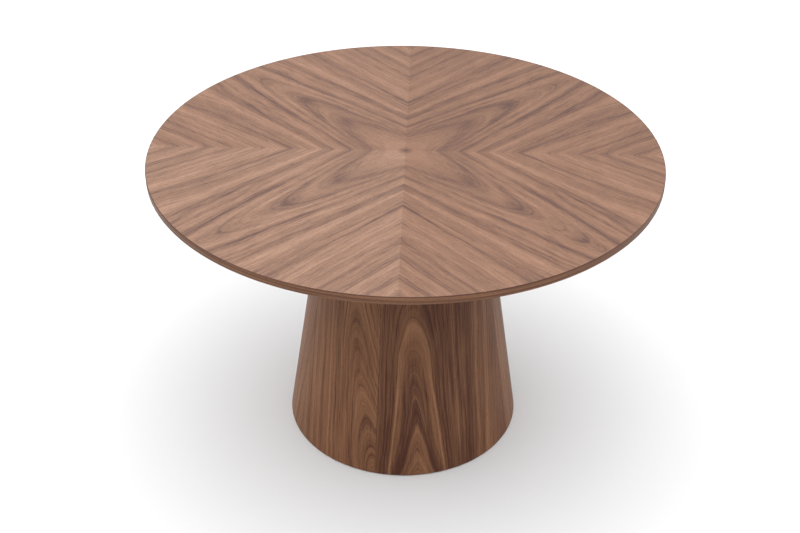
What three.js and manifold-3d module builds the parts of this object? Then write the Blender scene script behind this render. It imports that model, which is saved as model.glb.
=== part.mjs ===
// Round dining table: a veneered top that tilts on two goose-neck hinges hidden in a
// tapered drum pedestal. Millimetres, +Z up, origin on the floor under the table's centre.
// X runs along the hinge axis, and -Y is the side that lifts when the top tilts.
import * as THREE from "three";
import { mergeVertices } from "three/addons/utils/BufferGeometryUtils.js";
import Module from "manifold-3d";

const wasm = await Module();
wasm.setup();

// ---------------------------------------------------------------- driving dimensions

const tableHeight = 750;
const glueLine = 0.1; // between glued curved faces
const fitGap = 0.3; // between a board and the wall it is let into
const runningGap = 0.1; // on the radius of a pin or rod in its bore

const top = {
  diameter: 1200,
  thickness: 18,
  leaf: 0.6, // face and back veneer
  band: 1.2, // edge banding
  arris: 0.7, // eased edges of the banding
};

const drum = {
  footDiameter: 586,
  rimDiameter: 364,
  wall: 12,
  veneer: 0.6,
  floorGap: 3, // the wall stops this far above the floor
  rimGap: 7, // shadow gap under the top, filled by the rim pads
};

const boards = {
  bottom: 18,
  bottomUnderside: 10, // height of the bottom board's underside
  deck: 18,
  former: 15,
  formerWidth: 70,
  formerUnderside: 300,
};

const rib = { count: 4, depth: 45, thickness: 25, wallGap: 1, notchGap: 0.5 };
const ballast = { radius: 200, thickness: 10, boltRing: 130, boltCount: 2 };
const rimPad = { count: 4, radius: 5.4, crush: 0.2 };
const glide = {
  count: 4,
  ring: 250, // radius of the circle they stand on
  padRadius: 15,
  padHeight: 5,
  collarRadius: 6.5,
  stemRadius: 4,
  stemLength: 30,
  nutFlange: 1.5,
  nutFlangeRadius: 11,
  nutRadius: 5.6,
  nutLength: 14,
};

const tilt = {
  setBack: 28, // hinge axis inside the drum's rim
  drop: 90, // hinge axis below the underside of the top
  maxAngle: 85,
  sweepGap: 5, // least distance to the rim as it passes
  spread: 38, // each arm's distance from the centre plane
};

const mountingBoard = { width: 200, frontEdge: -130, thickness: 18, screwInset: 20 };
const arm = {
  thickness: 8,
  width: 20,
  outerCorner: 18,
  innerCorner: 6,
  flangeWidth: 36,
  flangeLength: 68,
  flangeThickness: 4,
  screwOffset: 24,
};
const pin = { radius: 4, headRadius: 6.5, head: 2.5 };
const bush = { wall: 2, overhang: 0.7 };
const bracket = {
  height: 42, // hinge axis above the deck
  cheek: 4,
  sideGap: 1, // between a cheek and the arm
  plate: 4,
  plateWidth: 56,
  plateFront: -44, // from the hinge axis
  plateRear: 12,
  stopHeight: 18, // lower edge of the stop above the hinge axis
  stopDepth: 10,
  stopThickness: 5,
  stopGap: 0.4,
  boltOffsetX: 19,
  boltOffsetY: -16,
};

const lock = {
  boltRadius: 4.5,
  axisDrop: 18, // bolt below the underside of the top
  travel: 24,
  tipGap: 6, // between the drawn bolt and its keeper
  boltLength: 60,
  caseWidth: 20,
  caseLength: 68,
  caseNose: 6, // the drawn bolt stands out of the case by this much
  caseFloor: 3.5, // metal under the bolt
  earWidth: 56,
  earLength: 36,
  earThickness: 4,
  earScrewX: 21,
  knobRadius: 9,
  knobHeight: 14,
  neckRadius: 3,
  neckSetBack: 7, // from the bolt's front end
  keeperWidth: 30,
  keeperHeight: 20,
  keeperProud: 4,
  keeperScrewX: 10.5,
};

const screws = {
  wood: { shank: 2.2, head: 4.4, headHeight: 2.5, points: 12 },
  small: { shank: 1.5, head: 3, headHeight: 1.4, points: 12 },
  bolt: { shank: 3, head: 5.5, headHeight: 4, points: 12 },
  ballast: { shank: 4, head: 7, headHeight: 5, points: 12 },
  clearance: 0.3,
};

const roundLarge = 96; // sides of a large circle
const roundSmall = 24; // sides of a pin, bore or knob

// ---------------------------------------------------------------- derived places

const topRadius = top.diameter / 2;
const underside = tableHeight - top.thickness;
const rimZ = underside - drum.rimGap;
const bottomTop = boards.bottomUnderside + boards.bottom;
const pivotY = drum.rimDiameter / 2 - tilt.setBack;
const pivotZ = underside - tilt.drop;
const deckTop = pivotZ - bracket.height;
const deckUnderside = deckTop - boards.deck;
const lockZ = underside - lock.axisDrop;
const toRadians = THREE.MathUtils.degToRad;
const maxTilt = toRadians(tilt.maxAngle);

/** Outer radius of the veneered drum at height z. */
function drumRadius(z) {
  const share = (z - drum.floorGap) / (rimZ - drum.floorGap);
  return THREE.MathUtils.lerp(drum.footDiameter / 2, drum.rimDiameter / 2, share);
}

/** Outer radius of the bent-ply wall, under its veneer. */
function wallOuter(z) {
  return drumRadius(z) - drum.veneer - glueLine;
}

function wallInner(z) {
  return wallOuter(z) - drum.wall;
}

// The rim seen from the hinge axis. In the top's own frame it sweeps round that axis.
const rimOuter = { y: drumRadius(rimZ) - pivotY, z: tilt.drop - drum.rimGap };
const rimInner = { y: wallInner(rimZ) - pivotY, z: tilt.drop - drum.rimGap };
const sweepRadius = Math.hypot(rimOuter.y, rimOuter.z);

/** How far forward of the hinge axis a rim corner reaches at full tilt. */
function reachAtFullTilt(corner) {
  return Math.hypot(corner.y, corner.z) * Math.sin(maxTilt - Math.atan2(corner.y, corner.z));
}

const rimReach = Math.max(reachAtFullTilt(rimOuter), reachAtFullTilt(rimInner));
const armReach = rimReach + tilt.sweepGap + arm.width / 2;
const boardBelowTop = tilt.drop - mountingBoard.thickness;
const boardRear = pivotY - Math.sqrt(sweepRadius ** 2 - boardBelowTop ** 2) - tilt.sweepGap;
const armFootY = pivotY - armReach;

// ---------------------------------------------------------------- finishes

const finishes = {
  walnutFace: { color: 0xb08a76, roughness: 0.5 },
  walnutDrum: { color: 0x7a5743, roughness: 0.5 },
  walnutEdge: { color: 0x8a6450, roughness: 0.5 },
  fibreboard: { color: 0xa98a63, roughness: 0.9 },
  plywood: { color: 0xc9a877, roughness: 0.8 },
  softwood: { color: 0xd2b48c, roughness: 0.8 },
  blackSteel: { color: 0x23242a, roughness: 0.45, metalness: 0.8 },
  zincSteel: { color: 0xb9bcc0, roughness: 0.35, metalness: 0.9 },
  brass: { color: 0xb08d4a, roughness: 0.35, metalness: 0.9 },
  bronze: { color: 0x9c7440, roughness: 0.45, metalness: 0.8 },
  castIron: { color: 0x3a3b3d, roughness: 0.7, metalness: 0.6 },
  rubber: { color: 0x1c1c1c, roughness: 0.9 },
  nylon: { color: 0x2a2a2c, roughness: 0.6 },
};

for (const key of Object.keys(finishes)) {
  finishes[key] = new THREE.MeshStandardMaterial({ name: key, ...finishes[key] });
}

// ---------------------------------------------------------------- shape helpers

/** Solid of revolution about +Z from [radius, height] points, up the outside. */
function turned(profile, sides = roundSmall) {
  const points = profile.map(([r, z]) => new THREE.Vector2(r, z));
  return new THREE.LatheGeometry(points, sides).rotateX(Math.PI / 2);
}

/** Ring about +Z whose radii are functions of height. */
function coneRing(inner, outer, z0, z1) {
  return turned(
    [
      [inner(z0), z0],
      [outer(z0), z0],
      [outer(z1), z1],
      [inner(z1), z1],
      [inner(z0), z0],
    ],
    roundLarge,
  );
}

/** Disc about +Z whose edge follows a radius given as a function of height. */
function coneDisc(outer, z0, z1) {
  return turned([[0, z0], [outer(z0), z0], [outer(z1), z1], [0, z1]], roundLarge);
}

function rod(radius, length, sides = roundSmall) {
  return turned([[0, 0], [radius, 0], [radius, length], [0, length]], sides);
}

function block(x0, x1, y0, y1, z0, z1) {
  const geometry = new THREE.BoxGeometry(x1 - x0, y1 - y0, z1 - z0);
  return geometry.translate((x0 + x1) / 2, (y0 + y1) / 2, (z0 + z1) / 2);
}

/** Plate cut from a shape drawn in Y and Z, centred on x = 0. */
function uprightPlate(shape, thickness) {
  const geometry = new THREE.ExtrudeGeometry(shape, {
    depth: thickness,
    bevelEnabled: false,
    curveSegments: 8,
  });
  const turn = new THREE.Matrix4().makeBasis(
    new THREE.Vector3(0, 1, 0),
    new THREE.Vector3(0, 0, 1),
    new THREE.Vector3(1, 0, 0),
  );
  return geometry.applyMatrix4(turn).translate(-thickness / 2, 0, 0);
}

function solidOf(geometry) {
  const bare = new THREE.BufferGeometry();
  bare.setAttribute("position", geometry.getAttribute("position").clone());
  if (geometry.index) bare.setIndex(geometry.index.clone());
  const merged = mergeVertices(bare, 1e-3);
  const kept = [];
  for (let i = 0; i < merged.index.count; i += 3) {
    const [a, b, c] = [0, 1, 2].map((k) => merged.index.getX(i + k));
    if (a !== b && b !== c && a !== c) kept.push(a, b, c);
  }
  const mesh = new wasm.Mesh({
    numProp: 3,
    vertProperties: merged.attributes.position.array,
    triVerts: new Uint32Array(kept),
  });
  return new wasm.Manifold(mesh);
}

function geometryOf(solid) {
  const mesh = solid.getMesh();
  const geometry = new THREE.BufferGeometry();
  geometry.setAttribute("position", new THREE.BufferAttribute(mesh.vertProperties, 3));
  geometry.setIndex(new THREE.BufferAttribute(mesh.triVerts, 1));
  geometry.computeVertexNormals();
  return geometry;
}

function cut(geometry, tools) {
  return geometryOf(tools.reduce((solid, tool) => solid.subtract(solidOf(tool)), solidOf(geometry)));
}

function join(...geometries) {
  return geometryOf(geometries.map(solidOf).reduce((all, next) => all.add(next)));
}

/** Vertical hole from z0 to z1, with as many sides as what goes through it. */
function hole(radius, x, y, z0, z1, sidesRound = screws.wood.points) {
  return rod(radius, z1 - z0, sidesRound).translate(x, y, z0);
}

/** Screw standing on its head, shank up, with the head's seat at z = 0. */
function screwGeometry(kind, length) {
  return turned(
    [
      [0, -kind.headHeight],
      [kind.head * 0.7, -kind.headHeight],
      [kind.head, -kind.headHeight * 0.4],
      [kind.head, 0],
      [kind.shank, 0],
      [kind.shank, length],
      [0, length],
    ],
    kind.points,
  );
}

function clearanceRadius(kind) {
  return kind.shank + screws.clearance;
}

function piece(name, geometry, finish, x = 0, y = 0, z = 0) {
  const mesh = new THREE.Mesh(geometry, finish);
  mesh.name = name;
  mesh.position.set(x, y, z);
  return mesh;
}

/** count angles round a circle, the first at `first` degrees. */
function around(count, first) {
  return Array.from({ length: count }, (_, i) => toRadians(first + (360 * i) / count));
}

const sides = [
  { word: "left", x: -tilt.spread },
  { word: "right", x: tilt.spread },
];

// ---------------------------------------------------------------- screw places

const boardScrewLength = mountingBoard.thickness + 10;
const boardScrews = [-1, 1].flatMap((side) =>
  [mountingBoard.frontEdge + mountingBoard.screwInset, boardRear - mountingBoard.screwInset].map(
    (y) => ({ x: side * (mountingBoard.width / 2 - mountingBoard.screwInset), y }),
  ),
);
const armScrewLength = arm.flangeThickness + mountingBoard.thickness - 4;
const armScrews = sides.flatMap(({ x }) =>
  [-arm.screwOffset, arm.screwOffset].map((dy) => ({ x, y: armFootY + dy })),
);

// The lock is laid out forwards from the drum's front.
const keeperFace = -(drumRadius(lockZ) + lock.keeperProud);
const boltTip = keeperFace - lock.tipGap;
const caseRear = boltTip - lock.caseNose;
const caseFront = caseRear - lock.caseLength;
const caseUnderside = lockZ - lock.boltRadius - lock.caseFloor;
const neckY = boltTip - lock.boltLength + lock.neckSetBack;
const earY = (caseRear + caseFront) / 2;
const lockScrewLength = lock.earThickness + 11;
const lockScrews = [-lock.earScrewX, lock.earScrewX].map((x) => ({ x, y: earY }));
const keeperScrewLength = lock.keeperProud + 9;

const bracketBolts = sides.flatMap(({ x }) =>
  [-bracket.boltOffsetX, bracket.boltOffsetX].map((dx) => ({
    x: x + dx,
    y: pivotY + bracket.boltOffsetY,
  })),
);
const ballastBolts = around(ballast.boltCount, 0).map((a) => ({
  x: ballast.boltRing * Math.cos(a),
  y: ballast.boltRing * Math.sin(a),
}));
const glidePlaces = around(glide.count, 45).map((a) => ({
  x: glide.ring * Math.cos(a),
  y: glide.ring * Math.sin(a),
}));

// ---------------------------------------------------------------- tabletop

function topCore() {
  const radius = topRadius - top.band - glueLine;
  const height = top.thickness - 2 * top.leaf;
  const disc = turned([[0, 0], [radius, 0], [radius, height], [0, height]], roundLarge);
  const wood = clearanceRadius(screws.wood);
  const boardDepth = boardScrewLength - mountingBoard.thickness - top.leaf + 1;
  const lockDepth = lockScrewLength - lock.earThickness - top.leaf + 1;
  return cut(disc, [
    ...boardScrews.map(({ x, y }) => hole(wood, x, y, -1, boardDepth)),
    ...lockScrews.map(({ x, y }) => hole(wood, x, y, -1, lockDepth)),
  ]);
}

/** One quarter of the face veneer, from `start` degrees. */
function faceLeaf(start) {
  const radius = topRadius - top.band - 2 * glueLine;
  const shape = new THREE.Shape();
  shape.moveTo(0, 0);
  shape.absarc(0, 0, radius, toRadians(start), toRadians(start + 90));
  shape.lineTo(0, 0);
  return new THREE.ExtrudeGeometry(shape, {
    depth: top.leaf,
    bevelEnabled: false,
    curveSegments: roundLarge / 8, // an arc is given twice this many sides
  });
}

function backVeneer() {
  const radius = topRadius - top.band - glueLine;
  const disc = turned([[0, 0], [radius, 0], [radius, top.leaf], [0, top.leaf]], roundLarge);
  const wood = clearanceRadius(screws.wood);
  return cut(
    disc,
    [...boardScrews, ...lockScrews].map(({ x, y }) => hole(wood, x, y, -1, top.leaf + 1)),
  );
}

function edgeBand() {
  const inner = topRadius - top.band;
  return turned(
    [
      [inner, 0],
      [topRadius - top.arris, 0],
      [topRadius, top.arris],
      [topRadius, top.thickness - top.arris],
      [topRadius - top.arris, top.thickness],
      [inner, top.thickness],
      [inner, 0],
    ],
    roundLarge,
  );
}

function mountingBoardGeometry() {
  const half = mountingBoard.width / 2;
  const slab = block(-half, half, mountingBoard.frontEdge, boardRear, -mountingBoard.thickness, 0);
  const wood = clearanceRadius(screws.wood);
  return cut(
    slab,
    [...boardScrews, ...armScrews].map(({ x, y }) =>
      hole(wood, x, y, -mountingBoard.thickness - 1, 1),
    ),
  );
}

/** Goose-neck arm about its own pivot: forward under the rim's path, then up to a flange. */
function hingeArm() {
  const half = arm.width / 2;
  const front = -armReach - half;
  const rear = -armReach + half;
  const shape = new THREE.Shape();
  shape.moveTo(0, -half);
  shape.absarc(0, 0, half, -Math.PI / 2, Math.PI / 2);
  shape.lineTo(rear + arm.innerCorner, half);
  shape.absarc(
    rear + arm.innerCorner,
    half + arm.innerCorner,
    arm.innerCorner,
    -Math.PI / 2,
    -Math.PI,
    true,
  );
  shape.lineTo(rear, boardBelowTop);
  shape.lineTo(front, boardBelowTop);
  shape.lineTo(front, arm.outerCorner - half);
  shape.absarc(
    front + arm.outerCorner,
    arm.outerCorner - half,
    arm.outerCorner,
    Math.PI,
    1.5 * Math.PI,
  );
  shape.lineTo(0, -half);
  const blade = uprightPlate(shape, arm.thickness);
  const flange = block(
    -arm.flangeWidth / 2,
    arm.flangeWidth / 2,
    -armReach - arm.flangeLength / 2,
    -armReach + arm.flangeLength / 2,
    boardBelowTop - arm.flangeThickness,
    boardBelowTop,
  );
  const bore = rod(pin.radius + runningGap + bush.wall + runningGap, arm.thickness + 2)
    .translate(0, 0, -arm.thickness / 2 - 1)
    .rotateY(Math.PI / 2);
  const wood = clearanceRadius(screws.wood);
  const holes = [-arm.screwOffset, arm.screwOffset].map((dy) =>
    hole(wood, 0, -armReach + dy, boardBelowTop - arm.flangeThickness - 1, boardBelowTop + 1),
  );
  return cut(join(blade, flange), [bore, ...holes]);
}

function armBush() {
  const inner = pin.radius + runningGap;
  const outer = inner + bush.wall;
  const half = arm.thickness / 2 + bush.overhang;
  return turned([
    [inner, -half],
    [outer, -half],
    [outer, half],
    [inner, half],
    [inner, -half],
  ]).rotateY(Math.PI / 2);
}

// ---------------------------------------------------------------- lock

/** Case of the sliding bolt, hung from z = 0 with its bore along Y. */
function lockCase() {
  const half = lock.caseWidth / 2;
  const body = block(-half, half, caseFront, caseRear, caseUnderside - underside, 0);
  const ears = block(
    -lock.earWidth / 2,
    lock.earWidth / 2,
    earY - lock.earLength / 2,
    earY + lock.earLength / 2,
    -lock.earThickness,
    0,
  );
  const bore = rod(lock.boltRadius + 2 * runningGap, lock.caseLength + 2)
    .rotateX(-Math.PI / 2)
    .translate(0, caseFront - 1, -lock.axisDrop);
  const slotHalf = lock.neckRadius + 0.6;
  const slot = block(
    -slotHalf,
    slotHalf,
    neckY - slotHalf,
    neckY + lock.travel + slotHalf,
    caseUnderside - underside - 1,
    -lock.axisDrop,
  );
  const wood = clearanceRadius(screws.wood);
  const holes = lockScrews.map(({ x, y }) => hole(wood, x, y, -lock.earThickness - 1, 1));
  return cut(join(body, ears), [bore, slot, ...holes]);
}

function lockBolt() {
  const nose = lock.boltRadius * 0.3;
  return turned([
    [0, 0],
    [lock.boltRadius, 0],
    [lock.boltRadius, lock.boltLength - nose],
    [lock.boltRadius - nose, lock.boltLength],
    [0, lock.boltLength],
  ])
    .rotateX(-Math.PI / 2)
    .translate(0, boltTip - lock.boltLength, 0);
}

/** Knob hanging from z = 0, where its neck meets the bolt. */
function lockKnob() {
  const neck = lockZ - lock.boltRadius - caseUnderside + 2.5;
  const bottom = -neck - lock.knobHeight;
  const r = lock.knobRadius;
  return turned([
    [0, bottom],
    [r * 0.72, bottom],
    [r * 0.95, bottom + lock.knobHeight * 0.2],
    [r, bottom + lock.knobHeight * 0.45],
    [r * 0.8, bottom + lock.knobHeight * 0.8],
    [lock.neckRadius, -neck],
    [lock.neckRadius, 0],
    [0, 0],
  ]);
}

/** Rod along +Y from y0 to y1 at (x, z). */
function rodAlongY(radius, x, y0, y1, z) {
  return rod(radius, y1 - y0).rotateX(-Math.PI / 2).translate(x, y0, z);
}

/** Keeper plate, hollowed at the back to sit on the drum. */
function lockKeeper() {
  const half = lock.keeperWidth / 2;
  const upright = lock.keeperHeight / 2;
  const plate = block(
    -half,
    half,
    keeperFace,
    keeperFace + 3 * lock.keeperProud,
    lockZ - upright,
    lockZ + upright,
  );
  const z0 = lockZ - 2 * upright;
  const z1 = lockZ + 2 * upright;
  const seat = coneDisc((z) => drumRadius(z) + fitGap, z0, z1);
  return cut(cut(plate, [seat]), [
    rodAlongY(lock.boltRadius + 0.7, 0, keeperFace - 5, -wallInner(lockZ) + 5, lockZ),
    ...keeperScrewXs().map((x) =>
      rodAlongY(clearanceRadius(screws.small), x, keeperFace - 5, keeperFace + 30, lockZ),
    ),
  ]);
}

function keeperScrewXs() {
  return [-lock.keeperScrewX, lock.keeperScrewX];
}

/** Holes that the bolt and the keeper's screws need in the drum. */
function keeperHoles() {
  return [
    rodAlongY(lock.boltRadius + 0.7, 0, keeperFace, -wallInner(lockZ) + 10, lockZ),
    ...keeperScrewXs().map((x) =>
      rodAlongY(
        clearanceRadius(screws.small),
        x,
        keeperFace,
        keeperFace + keeperScrewLength + 1,
        lockZ,
      ),
    ),
  ];
}

// ---------------------------------------------------------------- pedestal

function drumShell() {
  return cut(coneRing(wallInner, wallOuter, drum.floorGap, rimZ), keeperHoles());
}

function drumVeneer() {
  const inner = (z) => drumRadius(z) - drum.veneer;
  return cut(coneRing(inner, drumRadius, drum.floorGap, rimZ), keeperHoles());
}

function letIn(z) {
  return wallInner(z) - fitGap;
}

function bottomBoard() {
  const disc = coneDisc(letIn, boards.bottomUnderside, bottomTop);
  const z0 = boards.bottomUnderside - 1;
  const z1 = bottomTop + 1;
  return cut(disc, [
    ...glidePlaces.map(({ x, y }) =>
      hole(glide.nutRadius + runningGap, x, y, z0, z1, roundSmall),
    ),
    ...ballastBolts.map(({ x, y }) => hole(clearanceRadius(screws.ballast), x, y, z0, z1)),
  ]);
}

function ballastPlate() {
  const disc = rod(ballast.radius, ballast.thickness, roundLarge);
  return cut(
    disc,
    ballastBolts.map(({ x, y }) =>
      hole(clearanceRadius(screws.ballast), x, y, -1, ballast.thickness + 1),
    ),
  );
}

/** Upright rib along +X that follows the wall, or with `gap` the notch it stands in. */
function ribGeometry(gap = 0) {
  const outerEdge = gap > 0 ? gap : -rib.wallGap;
  const innerEdge = -rib.wallGap - rib.depth - gap;
  const shape = new THREE.Shape();
  shape.moveTo(wallInner(bottomTop) + innerEdge, bottomTop);
  shape.lineTo(wallInner(bottomTop) + outerEdge, bottomTop);
  shape.lineTo(wallInner(deckUnderside) + outerEdge, deckUnderside);
  shape.lineTo(wallInner(deckUnderside) + innerEdge, deckUnderside);
  const thickness = rib.thickness + 2 * gap;
  const geometry = new THREE.ExtrudeGeometry(shape, { depth: thickness, bevelEnabled: false });
  return geometry.rotateX(Math.PI / 2).translate(0, thickness / 2, 0);
}

const ribAngles = around(rib.count, 0);

function formerRing() {
  const z0 = boards.formerUnderside;
  const ring = coneRing((z) => letIn(z) - boards.formerWidth, letIn, z0, z0 + boards.former);
  return cut(
    ring,
    ribAngles.map((angle) => ribGeometry(rib.notchGap).rotateZ(angle)),
  );
}

function mechanismDeck() {
  const disc = coneDisc(letIn, deckUnderside, deckTop);
  const radius = clearanceRadius(screws.bolt);
  return cut(
    disc,
    bracketBolts.map(({ x, y }) => hole(radius, x, y, deckUnderside - 1, deckTop + 1)),
  );
}

/** Folded bracket about the hinge axis: base plate, two cheeks and the stop between them. */
function hingeBracket() {
  const floor = -bracket.height;
  const lean = Math.PI / 2 - maxTilt;
  const stopY =
    arm.width / 2 / Math.cos(lean) - bracket.stopHeight * Math.tan(lean) + bracket.stopGap;
  const stopTop = bracket.stopHeight + bracket.stopDepth;
  const cheekShape = new THREE.Shape();
  cheekShape.moveTo(bracket.plateFront + 10, floor);
  cheekShape.lineTo(bracket.plateRear, floor);
  cheekShape.lineTo(stopY + bracket.stopThickness, 0);
  cheekShape.lineTo(stopY + bracket.stopThickness, stopTop);
  cheekShape.lineTo(stopY - 3, stopTop);
  cheekShape.lineTo(-arm.width / 2 - 2, arm.width / 2);
  const cheekX = arm.thickness / 2 + bracket.sideGap + bracket.cheek / 2;
  const cheeks = [-cheekX, cheekX].map((x) =>
    uprightPlate(cheekShape, bracket.cheek).translate(x, 0, 0),
  );
  const half = bracket.plateWidth / 2;
  const plate = block(
    -half,
    half,
    bracket.plateFront,
    bracket.plateRear,
    floor,
    floor + bracket.plate,
  );
  const stop = block(
    -cheekX,
    cheekX,
    stopY,
    stopY + bracket.stopThickness,
    bracket.stopHeight,
    stopTop,
  );
  const bore = rod(pin.radius + runningGap, 4 * cheekX)
    .translate(0, 0, -2 * cheekX)
    .rotateY(Math.PI / 2);
  const boltHoles = [-bracket.boltOffsetX, bracket.boltOffsetX].map((x) =>
    hole(
      clearanceRadius(screws.bolt),
      x,
      bracket.boltOffsetY,
      floor - 1,
      floor + bracket.plate + 1,
    ),
  );
  return cut(join(plate, ...cheeks, stop), [bore, ...boltHoles]);
}

/** Headed pin along X through both cheeks. */
function hingePin() {
  const half = arm.thickness / 2 + bracket.sideGap + bracket.cheek + runningGap;
  return turned([
    [0, -half - pin.head],
    [pin.headRadius, -half - pin.head],
    [pin.headRadius, -half],
    [pin.radius, -half],
    [pin.radius, half],
    [pin.headRadius, half],
    [pin.headRadius, half + pin.head],
    [0, half + pin.head],
  ]).rotateY(Math.PI / 2);
}

/** Flanged threaded insert, pushed up into the bottom board from z = 0. */
function glideNut() {
  const bore = glide.stemRadius + runningGap;
  return turned([
    [bore, -glide.nutFlange],
    [glide.nutFlangeRadius, -glide.nutFlange],
    [glide.nutFlangeRadius, 0],
    [glide.nutRadius, 0],
    [glide.nutRadius, glide.nutLength],
    [bore, glide.nutLength],
    [bore, -glide.nutFlange],
  ]);
}

/** Levelling glide screwed home: pad on the floor, collar against the nut, stem in it. */
function glideFoot() {
  const collarTop = boards.bottomUnderside - glide.nutFlange - runningGap;
  const arris = 1.2;
  return turned([
    [0, 0],
    [glide.padRadius - arris, 0],
    [glide.padRadius, arris],
    [glide.padRadius, glide.padHeight - arris],
    [glide.padRadius - 2 * arris, glide.padHeight],
    [glide.collarRadius, glide.padHeight],
    [glide.collarRadius, collarTop],
    [glide.stemRadius, collarTop],
    [glide.stemRadius, collarTop + glide.stemLength],
    [0, collarTop + glide.stemLength],
  ]);
}

// ---------------------------------------------------------------- assembly

function buildTabletop() {
  const group = new THREE.Group();
  group.position.z = underside;
  group.add(piece("back_veneer", backVeneer(), finishes.walnutFace));
  group.add(piece("top_core", topCore(), finishes.fibreboard, 0, 0, top.leaf));
  group.add(piece("edge_band", edgeBand(), finishes.walnutEdge));
  const leaves = ["back_right", "back_left", "front_left", "front_right"];
  leaves.forEach((word, i) => {
    const name = `face_leaf_${word}`;
    group.add(piece(name, faceLeaf(90 * i), finishes.walnutFace, 0, 0, top.thickness - top.leaf));
  });
  group.add(piece("mounting_board", mountingBoardGeometry(), finishes.plywood));
  boardScrews.forEach(({ x, y }, i) => {
    const screw = screwGeometry(screws.wood, boardScrewLength);
    const seat = -mountingBoard.thickness;
    group.add(piece(`board_screw_${i + 1}`, screw, finishes.zincSteel, x, y, seat));
  });
  armScrews.forEach(({ x, y }, i) => {
    const screw = screwGeometry(screws.wood, armScrewLength);
    const seat = -mountingBoard.thickness - arm.flangeThickness;
    group.add(piece(`arm_screw_${i + 1}`, screw, finishes.zincSteel, x, y, seat));
  });
  for (const { word, x } of sides) {
    const hinge = new THREE.Group();
    hinge.position.set(x, pivotY, -tilt.drop);
    hinge.add(piece(`hinge_arm_${word}`, hingeArm(), finishes.blackSteel));
    hinge.add(piece(`arm_bush_${word}`, armBush(), finishes.bronze));
    group.add(hinge);
  }
  return group;
}

function buildLock() {
  const group = new THREE.Group();
  group.position.z = underside;
  group.add(piece("lock_case", lockCase(), finishes.brass));
  lockScrews.forEach(({ x, y }, i) => {
    const screw = screwGeometry(screws.wood, lockScrewLength);
    group.add(piece(`lock_screw_${i + 1}`, screw, finishes.brass, x, y, -lock.earThickness));
  });
  group.add(piece("lock_bolt", lockBolt(), finishes.brass, 0, 0, -lock.axisDrop));
  const neckTop = -lock.axisDrop - lock.boltRadius - runningGap;
  group.add(piece("lock_knob", lockKnob(), finishes.brass, 0, neckY, neckTop));
  return group;
}

function buildKeeper() {
  const group = new THREE.Group();
  group.add(piece("lock_keeper", lockKeeper(), finishes.brass));
  keeperScrewXs().forEach((x, i) => {
    const screw = screwGeometry(screws.small, keeperScrewLength).rotateX(-Math.PI / 2);
    group.add(piece(`keeper_screw_${i + 1}`, screw, finishes.brass, x, keeperFace, lockZ));
  });
  return group;
}

function buildHingeBrackets() {
  const group = new THREE.Group();
  for (const { word, x } of sides) {
    const hinge = new THREE.Group();
    hinge.position.set(x, pivotY, pivotZ);
    hinge.add(piece(`hinge_bracket_${word}`, hingeBracket(), finishes.blackSteel));
    hinge.add(piece(`hinge_pin_${word}`, hingePin(), finishes.zincSteel));
    group.add(hinge);
  }
  bracketBolts.forEach(({ x, y }, i) => {
    const length = bracket.plate + boards.deck - 2;
    const bolt = screwGeometry(screws.bolt, length).rotateX(Math.PI);
    const seat = deckTop + bracket.plate;
    group.add(piece(`bracket_bolt_${i + 1}`, bolt, finishes.zincSteel, x, y, seat));
  });
  return group;
}

function buildDrum() {
  const group = new THREE.Group();
  group.add(piece("drum_shell", drumShell(), finishes.plywood));
  group.add(piece("drum_veneer", drumVeneer(), finishes.walnutDrum));
  group.add(piece("bottom_board", bottomBoard(), finishes.plywood));
  group.add(piece("former_ring", formerRing(), finishes.plywood));
  group.add(piece("mechanism_deck", mechanismDeck(), finishes.plywood));
  group.add(piece("ballast_plate", ballastPlate(), finishes.castIron, 0, 0, bottomTop));
  ballastBolts.forEach(({ x, y }, i) => {
    const length = ballast.thickness + boards.bottom - 2;
    const bolt = screwGeometry(screws.ballast, length).rotateX(Math.PI);
    const seat = bottomTop + ballast.thickness;
    group.add(piece(`ballast_bolt_${i + 1}`, bolt, finishes.zincSteel, x, y, seat));
  });
  ribAngles.forEach((angle, i) => {
    const mesh = piece(`rib_${i + 1}`, ribGeometry(), finishes.softwood);
    mesh.rotation.z = angle;
    group.add(mesh);
  });
  around(rimPad.count, 45).forEach((angle, i) => {
    const radius = wallOuter(rimZ) - drum.wall / 2;
    const pad = rod(rimPad.radius, drum.rimGap - rimPad.crush, 16);
    const x = radius * Math.cos(angle);
    const y = radius * Math.sin(angle);
    group.add(piece(`rim_pad_${i + 1}`, pad, finishes.rubber, x, y, rimZ));
  });
  return group;
}

function buildGlides() {
  const group = new THREE.Group();
  glidePlaces.forEach(({ x, y }, i) => {
    const seat = boards.bottomUnderside;
    group.add(piece(`glide_nut_${i + 1}`, glideNut(), finishes.zincSteel, x, y, seat));
    group.add(piece(`glide_${i + 1}`, glideFoot(), finishes.nylon, x, y));
  });
  return group;
}

const table = new THREE.Group();
table.name = "tilt_top_table";
table.add(
  buildTabletop(),
  buildLock(),
  buildKeeper(),
  buildHingeBrackets(),
  buildDrum(),
  buildGlides(),
);

export default table;
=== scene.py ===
import math
import bpy
import bmesh
from mathutils import Matrix, Vector


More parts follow.
